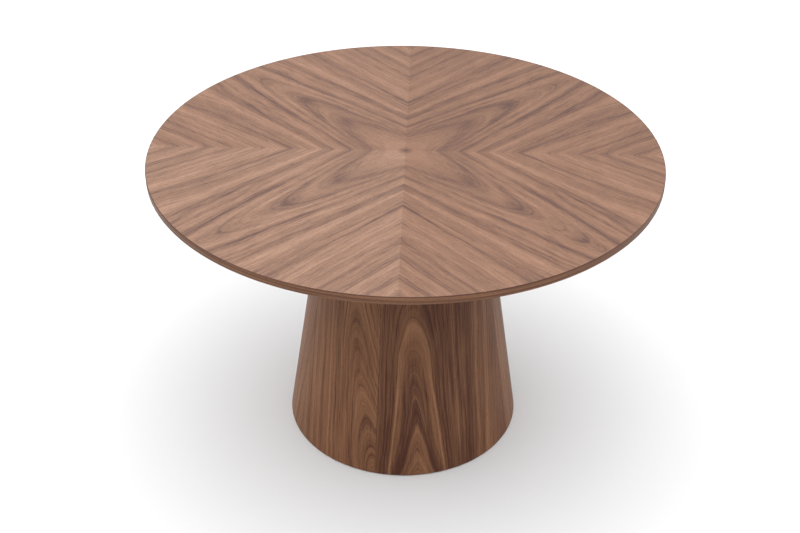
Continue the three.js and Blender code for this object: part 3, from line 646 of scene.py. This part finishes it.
def quarterLeaf(word, turn, tint, slip):
    # a disc, cut down to the quarter between +X and +Y, then turned into place
    mesh = slab(topPiece["radius"] - topPiece["band"], topPiece["steps"])
    for normal in ((1, 0, 0), (0, 1, 0)):
        everything = mesh.verts[:] + mesh.edges[:] + mesh.faces[:]
        bmesh.ops.bisect_plane(mesh, geom=everything, plane_co=(0, 0, 0), plane_no=normal, clear_inner=True)
    thicken(mesh, topPiece["leaf"])
    base = topPiece["underside"] + topPiece["thickness"] - topPiece["leaf"]
    bmesh.ops.rotate(mesh, matrix=Matrix.Rotation(math.radians(turn), 3, "Z"), verts=mesh.verts[:])
    bmesh.ops.translate(mesh, vec=(0, 0, base), verts=mesh.verts[:])
    material = walnutLeaf("walnutLeaf_" + word, tint, slip)
    meshPiece("veneer_leaf_" + word, mesh, material, "tilting_top", "face_leaf_" + word, 30)


# painted sheen: each mirrored leaf's colour is scaled by its own tint, the front leaves paler and the front left
# bluer, standing in for the way the same wood reflects light a little differently in each mirrored leaf
quarterLeaf("back_right", 0, (0.935, 0.90, 0.865), 0.00)
quarterLeaf("back_left", 90, (1.08, 1.09, 1.09), 0.03)
quarterLeaf("front_left", 180, (1.195, 1.28, 1.335), 0.06)
quarterLeaf("front_right", 270, (1.025, 1.005, 0.975), 0.09)


def spinRound(mesh, outline, steps):
    bmesh.ops.spin(mesh, geom=outline, axis=(0, 0, 1), angle=2 * math.pi, steps=steps, use_merge=True)


def spunRing(profile, steps, z):
    # closed [radius, height] loop spun once round Z
    mesh = bmesh.new()
    verts = [mesh.verts.new((r, 0, z + h)) for r, h in profile]
    edges = [mesh.edges.new((verts[i], verts[(i + 1) % len(verts)])) for i in range(len(verts))]
    spinRound(mesh, verts + edges, steps)
    return mesh


def edgeBand():
    r, t, a = topPiece["radius"], topPiece["thickness"], topPiece["arris"]
    inner = r - topPiece["band"]
    turns = (0, math.pi / 6, math.pi / 3, math.pi / 2)
    lower = [(r - a * (1 - math.sin(k)), a * (1 - math.cos(k))) for k in turns]
    upper = [(r - a * (1 - math.cos(k)), t - a * (1 - math.sin(k))) for k in turns]
    profile = [(inner, 0)] + lower + upper + [(inner, t)]
    mesh = spunRing(profile, topPiece["steps"], topPiece["underside"])
    uv = mesh.loops.layers.uv.new("bandUv")
    for face in mesh.faces:
        middle = face.calc_center_median()
        start = math.atan2(middle.y, middle.x)
        for loop in face.loops:
            p = loop.vert.co
            angle = math.atan2(p.y, p.x)
            if angle - start > math.pi:
                angle -= 2 * math.pi
            if start - angle > math.pi:
                angle += 2 * math.pi
            loop[uv].uv = (angle * r, p.z - topPiece["underside"])
    material = walnutBand("walnutEdgeBand")
    meshPiece("edge_banding", mesh, material, "tilting_top", "edge_band", 40)


edgeBand()

drumPiece = {
    "foot": 0.293,
    "rim": 0.182,
    "low": 0.003,
    "high": 0.725,
    "veneer": 0.0006,
    "glue": 0.0001,
    "wall": 0.012,
    "rows": 12,  # bands of faces between foot and rim
    "steps": 288,
    # the keeper's holes go through near the rim: across, radius, how far back
    "holeHeight": 0.714,
    "holeStart": -0.1877,
    "holes": [(0.0, 0.0052, 0.06), (-0.0105, 0.0018, 0.014), (0.0105, 0.0018, 0.014)],
}


def rodAlongY(across, z, radius, start, end):
    mesh = slab(radius, 24)
    thicken(mesh, end - start)
    bmesh.ops.rotate(mesh, matrix=Matrix.Rotation(-math.pi / 2, 3, "X"), verts=mesh.verts[:])
    bmesh.ops.translate(mesh, vec=(across, start, z), verts=mesh.verts[:])
    bmesh.ops.recalc_face_normals(mesh, faces=mesh.faces)
    return mesh


def drill(piece, rods):
    # takes each rod's shape out of the piece and keeps the result as its mesh
    for rod in rods:
        cutter = placeMesh("drillRod", rod)
        data = cutter.data
        modifier = piece.modifiers.new("drill", "BOOLEAN")
        modifier.operation = "DIFFERENCE"
        modifier.solver = "EXACT"
        modifier.object = cutter
        drilled = piece.evaluated_get(bpy.context.evaluated_depsgraph_get())
        result = bpy.data.meshes.new_from_object(drilled)
        piece.modifiers.clear()
        piece.data = result
        bpy.data.objects.remove(cutter)
        bpy.data.meshes.remove(data)


def drumLayer(name, outer, thick, material, node):
    d = drumPiece
    rows = d["rows"]
    heights = [d["low"] + (d["high"] - d["low"]) * i / rows for i in range(rows + 1)]
    radii = [d["foot"] + (d["rim"] - d["foot"]) * i / rows - outer for i in range(rows + 1)]
    outside = list(zip(radii, heights))
    inside = [(r - thick, h) for r, h in reversed(outside)]
    mesh = spunRing(outside + inside, d["steps"], 0)
    piece = meshPiece(name, mesh, material, "pedestal", node, 40)
    front = d["holeStart"]
    drill(piece, [rodAlongY(x, d["holeHeight"], r, front, front + reach) for x, r, reach in d["holes"]])
    smoothByAngle(piece, 40)  # again, since drilling made new edges


drumVeneer = walnutDrum("walnutDrumVeneer")
drumLayer("drum_veneer_wrap", 0.0, drumPiece["veneer"], drumVeneer, "drum_veneer")
wallStart = drumPiece["veneer"] + drumPiece["glue"]
drumLayer("drum_wall", wallStart, drumPiece["wall"], finishes["bentPly"], "drum_shell")


def backVeneer():
    # stops just short of the banding
    gap = 0.0001
    mesh = slab(topPiece["radius"] - topPiece["band"] - gap, topPiece["steps"])
    thicken(mesh, topPiece["leaf"])
    bmesh.ops.translate(mesh, vec=(0, 0, topPiece["underside"]), verts=mesh.verts[:])
    meshPiece("back_veneer_disc", mesh, finishes["back"], "tilting_top", "back_veneer", 30)


print("veneers made")


hardware = {
    # shank, head radius, head height, socket radius, thread pitch
    "wood": (0.0022, 0.0044, 0.0025, 0.0016, 0.0014),
    "small": (0.0015, 0.0030, 0.0014, 0.0010, 0.0010),
    "bolt": (0.0030, 0.0055, 0.0040, 0.0024, 0.0010),
    "ballast": (0.0040, 0.0070, 0.0050, 0.0032, 0.00125),
    "around": 24,
}


def spunSolid(profile, steps):
    # open [radius, height] line from axis to axis, spun once round Z
    mesh = bmesh.new()
    verts = [mesh.verts.new((r, 0, h)) for r, h in profile]
    edges = [mesh.edges.new(pair) for pair in zip(verts, verts[1:])]
    spinRound(mesh, verts + edges, steps)
    bmesh.ops.remove_doubles(mesh, verts=mesh.verts[:], dist=1e-6)
    return mesh


def screw(name, kind, box, axis, body, finish):
    # pan head with a star socket, and a ringed shank that ends in a point
    shank, head, high, socket, pitch = hardware[kind]
    low, top = box
    size = [b - a for a, b in zip(low, top)]
    length = size["XYZ".index(axis[1])] - high
    profile = [(0.0, -length), (shank * 0.55, -length + shank * 1.2)]
    z = -length + shank * 1.2
    while z < -3 * pitch:
        profile += [(shank, z + pitch * 0.5), (shank * 0.84, z + pitch)]
        z += pitch
    profile += [(shank * 0.9, -pitch), (shank, -0.0002), (shank, 0.0)]
    profile += [(head * 0.97, 0.0), (head, high * 0.12), (head, high * 0.3)]
    profile += [(head * 0.95, high * 0.62), (head * 0.82, high * 0.88), (head * 0.66, high)]
    profile += [(socket * 1.3, high)]
    mesh = spunSolid(profile, hardware["around"])
    rim = [e for e in mesh.edges if e.is_boundary and abs(e.verts[0].co.z - high) < 1e-6]
    star = bmesh.ops.create_circle(mesh, segments=12, radius=socket)["verts"]
    for v in star[::2]:
        v.co *= 0.68
    bmesh.ops.translate(mesh, vec=(0, 0, high), verts=star)
    starEdges = list({e for v in star for e in v.link_edges})
    bmesh.ops.bridge_loops(mesh, edges=rim + starEdges)
    sunk = bmesh.ops.extrude_edge_only(mesh, edges=starEdges)["geom"]
    lowered = [v for v in sunk if isinstance(v, bmesh.types.BMVert)]
    bmesh.ops.translate(mesh, vec=(0, 0, -high * 0.6), verts=lowered)
    bmesh.ops.contextual_create(mesh, geom=lowered + [g for g in sunk if isinstance(g, bmesh.types.BMEdge)])
    # heads stand towards the side that the axis names
    turn = {"-Z": math.pi, "+Z": 0.0, "-Y": math.pi / 2}[axis]
    bmesh.ops.rotate(mesh, matrix=Matrix.Rotation(turn, 3, "X"), verts=mesh.verts[:])
    middle = [(a + b) / 2 for a, b in zip(low, top)]
    seat = {"-Z": low[2] + high, "+Z": top[2] - high, "-Y": low[1] + high}[axis]
    place = (middle[0], seat, middle[2]) if axis == "-Y" else (middle[0], middle[1], seat)
    bmesh.ops.translate(mesh, vec=place, verts=mesh.verts[:])
    meshPiece(name + "_star", mesh, finishes[finish], body, name, 32)


screwRows = [
    ("board_screw_", 4, "wood", "-Z", "tilting_top", "zinc", "zinc_steel"),
    ("arm_screw_", 4, "wood", "-Z", "tilting_top", "zinc", "zinc_steel"),
    ("lock_screw_", 2, "wood", "-Z", "tilting_top", "brass", "brass"),
    ("keeper_screw_", 2, "small", "-Y", "pedestal", "brass", "brass"),
    ("bracket_bolt_", 4, "bolt", "+Z", "pedestal", "zinc", "zinc_steel"),
    ("ballast_bolt_", 2, "ballast", "+Z", "pedestal", "zinc", "zinc_steel"),
]
for start, count, kind, axis, body, finish, slot in screwRows:
    for i in range(1, count + 1):
        name = start + str(i)
        screw(name, kind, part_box(name), axis, body, finish)


def turnedPiece(name, node, profile, steps, axis, place, body, finish):
    # a lathe-turned part: [radius, height] line spun, laid along its axis and put in place
    mesh = spunSolid(profile, steps)
    if axis == "X":
        bmesh.ops.rotate(mesh, matrix=Matrix.Rotation(math.pi / 2, 3, "Y"), verts=mesh.verts[:])
    if axis == "Y":
        bmesh.ops.rotate(mesh, matrix=Matrix.Rotation(-math.pi / 2, 3, "X"), verts=mesh.verts[:])
    bmesh.ops.translate(mesh, vec=place, verts=mesh.verts[:])
    meshPiece(name, mesh, finishes[finish], body, node, 35)


def middleOf(node):
    low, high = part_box(node)
    return [(a + b) / 2 for a, b in zip(low, high)]


# pin: a thin middle with a rounded head at each end
pinLine = [
    (0, -0.0116), (0.0050, -0.0116), (0.0060, -0.0113), (0.0065, -0.0106), (0.0065, -0.0091), (0.0040, -0.0091),
]
pinLine += [(r, -h) for r, h in reversed(pinLine)]
for side in ("left", "right"):
    node = "hinge_pin_" + side
    turnedPiece(node + "_turned", node, pinLine, 32, "X", middleOf(node), "pedestal", "zinc")

# bolt: chamfered nose and a shallow groove near its tip
low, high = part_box("lock_bolt")
length = high[1] - low[1]
boltLine = [(0, 0), (0.0041, 0), (0.0045, 0.0004), (0.0045, length - 0.0046), (0.0042, length - 0.0042)]
boltLine += [(0.0042, length - 0.0036), (0.0045, length - 0.0032), (0.0045, length - 0.0016)]
boltLine += [(0.0031, length), (0, length)]
x, _, z = middleOf("lock_bolt")
turnedPiece("lock_bolt_turned", "lock_bolt", boltLine, 40, "Y", (x, low[1], z), "sliding_bolt", "brass")

# knob: reeded barrel with a dished end, on a thin neck
low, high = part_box("lock_knob")
tall = high[2] - low[2]
knobLine = [(0, 0.0010), (0.0034, 0.0006), (0.0050, 0.0), (0.0066, 0.0002), (0.0080, 0.0014), (0.0085, 0.0028)]
knobLine += [(radius, 0.0046 + 0.0011 * i) for i, radius in enumerate((0.0090, 0.0086, 0.0090, 0.0086))]
knobLine += [(0.0086, 0.0092), (0.0072, 0.0112), (0.0050, 0.0128), (0.0034, 0.0140), (0.0030, 0.0148)]
knobLine += [(0.0030, tall), (0, tall)]
x, y, _ = middleOf("lock_knob")
turnedPiece("lock_knob_turned", "lock_knob", knobLine, 48, "Z", (x, y, low[2]), "sliding_bolt", "brass")

for i in range(1, 5):
    # rubber bumpers on the rim
    node = "rim_pad_" + str(i)
    low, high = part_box(node)
    x, y, _ = middleOf(node)
    tall = high[2] - low[2]
    line = [(0, 0), (0.0050, 0), (0.0054, 0.0004), (0.0054, 0.0030), (0.0051, 0.0046), (0.0044, 0.0058)]
    line += [(0.0034, tall - 0.0002), (0.0028, tall), (0, tall)]
    turnedPiece(node + "_bumper", node, line, 32, "Z", (x, y, low[2]), "pedestal", "rubber")
    # levelling glides: a broad foot, a collar and a ringed stem
    node = "glide_" + str(i)
    low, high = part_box(node)
    x, y, _ = middleOf(node)
    tall = high[2] - low[2]
    line = [(0, 0), (0.0134, 0), (0.0145, 0.0004), (0.0150, 0.0013), (0.0150, 0.0034), (0.0145, 0.0045)]
    line += [(0.0134, 0.0050), (0.0072, 0.0052), (0.0065, 0.0058), (0.0065, 0.0084), (0.0040, 0.0084)]
    z, pitch = 0.0084, 0.0012
    while z < tall - 0.003:
        line += [(0.0034, z + pitch / 2), (0.0040, z + pitch)]
        z += pitch
    line += [(0.0034, tall - 0.0008), (0.0026, tall), (0, tall)]
    turnedPiece(node + "_foot", node, line, 40, "Z", (x, y, low[2]), "glide_foot_" + str(i), "nylon")
backVeneer()
print("hardware made")

# eased edges on the parts kept as they were cut
easing = [
    ("mounting_board", 0.0015), ("hinge_arm_left", 0.0009), ("hinge_arm_right", 0.0009),
    ("hinge_bracket_left", 0.0006), ("hinge_bracket_right", 0.0006), ("lock_case", 0.0006),
    ("lock_keeper", 0.0005), ("ballast_plate", 0.0012), ("rib_1", 0.0010), ("rib_2", 0.0010),
    ("rib_3", 0.0010), ("rib_4", 0.0010), ("mechanism_deck", 0.0006), ("former_ring", 0.0006),
    ("bottom_board", 0.0006), ("arm_bush_left", 0.0003), ("arm_bush_right", 0.0003),
]
weldGap = 0.00001
bluntest = 38  # edges that turn less than this many degrees stay as they are
for name, width in easing:
    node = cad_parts[name]
    weld = node.modifiers.new("weld", "WELD")
    weld.merge_threshold = weldGap
    bevel = node.modifiers.new("ease", "BEVEL")
    bevel.width = width
    bevel.segments = 2
    bevel.limit_method = "ANGLE"
    bevel.angle_limit = math.radians(bluntest)
print("edges eased")


studio = {
    "floorSize": 120.0,
    "floor": (0.597, 0.60, 0.606),
    "sky": 0.5,
    "backdrop": (54.0, 11.0),  # radius and height
    # wide soft lights: where from (degrees round, degrees up), how wide, how strong
    "lights": {
        "overheadSoftbox": (90, 90, 96, 1.36),
        "frontFill": (-90, 50, 60, 0.14),
        "leftSoftbox": (180, 28, 60, 0.18),
        "leftBackSoftbox": (140, 30, 60, 0.04),
        "rightSoftbox": (0, 28, 60, 0.085),
    },
}


def floorPlane():
    mesh = bmesh.new()
    bmesh.ops.create_grid(mesh, x_segments=4, y_segments=4, size=studio["floorSize"] / 2)
    floor = placeMesh("studioFloor", mesh)
    desk = nodeDesk("paleFloor")
    desk.finish((*studio["floor"], 1.0), 0.9, **{"Specular IOR Level": 0.1})
    floor.data.materials.append(desk.material)
    floor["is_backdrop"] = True


def backdropRing():
    # white ring far behind, so that low views see no horizon
    mesh = bmesh.new()
    radius, height = studio["backdrop"]
    bmesh.ops.create_circle(mesh, segments=96, radius=radius)
    made = bmesh.ops.extrude_edge_only(mesh, edges=mesh.edges[:])
    bmesh.ops.translate(mesh, vec=(0, 0, height), verts=raised(made))
    backdrop = placeMesh("studioBackdrop", mesh)
    desk = nodeDesk("whiteBackdrop")
    desk.finish((0.2, 0.2, 0.2, 1.0), 1.0, **{"Emission Color": (1, 1, 1, 1), "Emission Strength": 1.0})
    backdrop.data.materials.append(desk.material)
    backdrop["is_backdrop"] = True


def softLight(name, around, up, wide, strength):
    lamp = bpy.data.lights.new(name, "SUN")
    lamp.angle = math.radians(wide)
    lamp.energy = strength * math.pi
    light = bpy.data.objects.new(name, lamp)
    bpy.context.scene.collection.objects.link(light)
    a, e = math.radians(around), math.radians(up)
    toLight = Vector((math.cos(a) * math.cos(e), math.sin(a) * math.cos(e), math.sin(e)))
    light.rotation_euler = toLight.to_track_quat("Z", "Y").to_euler()


floorPlane()
world = bpy.data.worlds.new("whiteStudio")
world.use_nodes = True
world.node_tree.nodes["Background"].inputs[0].default_value = (1, 1, 1, 1)
world.node_tree.nodes["Background"].inputs[1].default_value = studio["sky"]
bpy.context.scene.world = world
backdropRing()
for name, row in studio["lights"].items():
    softLight(name, *row)
bpy.context.scene.view_settings.view_transform = "Standard"
bpy.context.scene.view_settings.look = "None"
print("studio lit")


camera = {
    "lens": 58.13,
    "down": 33.452,  # degrees below the horizon
    "roll": 0.0082,
    "distance": 3.1943,
    "target": (-0.0106, 0.0, 0.4256),
    "round": 1.35,  # degrees round the table from straight in front
}
lensData = bpy.data.cameras.new("studioCamera")
lensData.sensor_width = 36.0
lensData.lens = camera["lens"]
cameraObject = bpy.data.objects.new("studioCamera", lensData)
bpy.context.scene.collection.objects.link(cameraObject)
down = math.radians(camera["down"])
back = Vector((0, -math.cos(down), math.sin(down))) * camera["distance"]
turn = Matrix.Rotation(math.radians(camera["round"]), 4, "Z")
tilt = Matrix.Rotation(math.radians(90) - down, 4, "X") @ Matrix.Rotation(camera["roll"], 4, "Z")
cameraObject.matrix_world = turn @ Matrix.Translation(Vector(camera["target"]) + back) @ tilt
bpy.context.scene.camera = cameraObject
print("camera set")

bpy.context.view_layer.update()
low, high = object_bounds()
